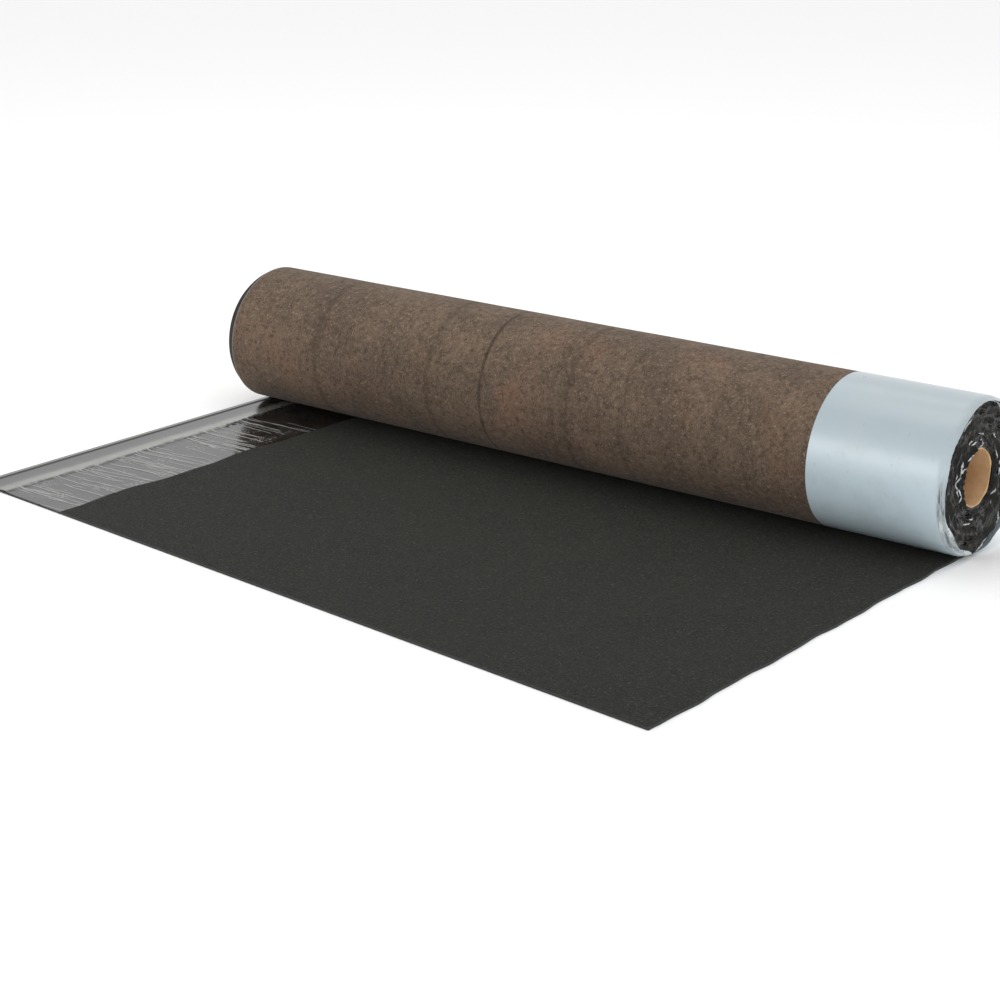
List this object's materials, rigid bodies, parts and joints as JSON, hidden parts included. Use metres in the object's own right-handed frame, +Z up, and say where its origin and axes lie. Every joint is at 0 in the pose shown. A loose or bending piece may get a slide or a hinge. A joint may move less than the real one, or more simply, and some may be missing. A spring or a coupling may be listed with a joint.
{
  "type": "roll of roofing felt",
  "caption": "Partly unrolled roll of self-adhesive bitumen roofing felt on a cardboard core, with a flat granuled tail, bare selvage and release film.",
  "frame": {"origin": "bottom centre of the bounding box, on the surface that the roll lies on", "axes": "+X along the roll towards its release-film end, +Y from the tail's cut end towards the roll, +Z up"},
  "size_m": [1.017, 0.66, 0.172],
  "materials": {
    "felt": "matt mineral granules on bitumen, brown fleece underside",
    "core_cardboard": "plain matt board",
    "release_film": "semi-gloss pale blue-grey film",
    "clear_film": "glossy, wrinkled, clear over black bitumen"
  },
  "bodies": {
    "root": {"felt_sheet": "felt", "core_tube": "core_cardboard", "lap_release_film": "release_film", "selvage_film": "clear_film"}
  },
  "joints": []
}
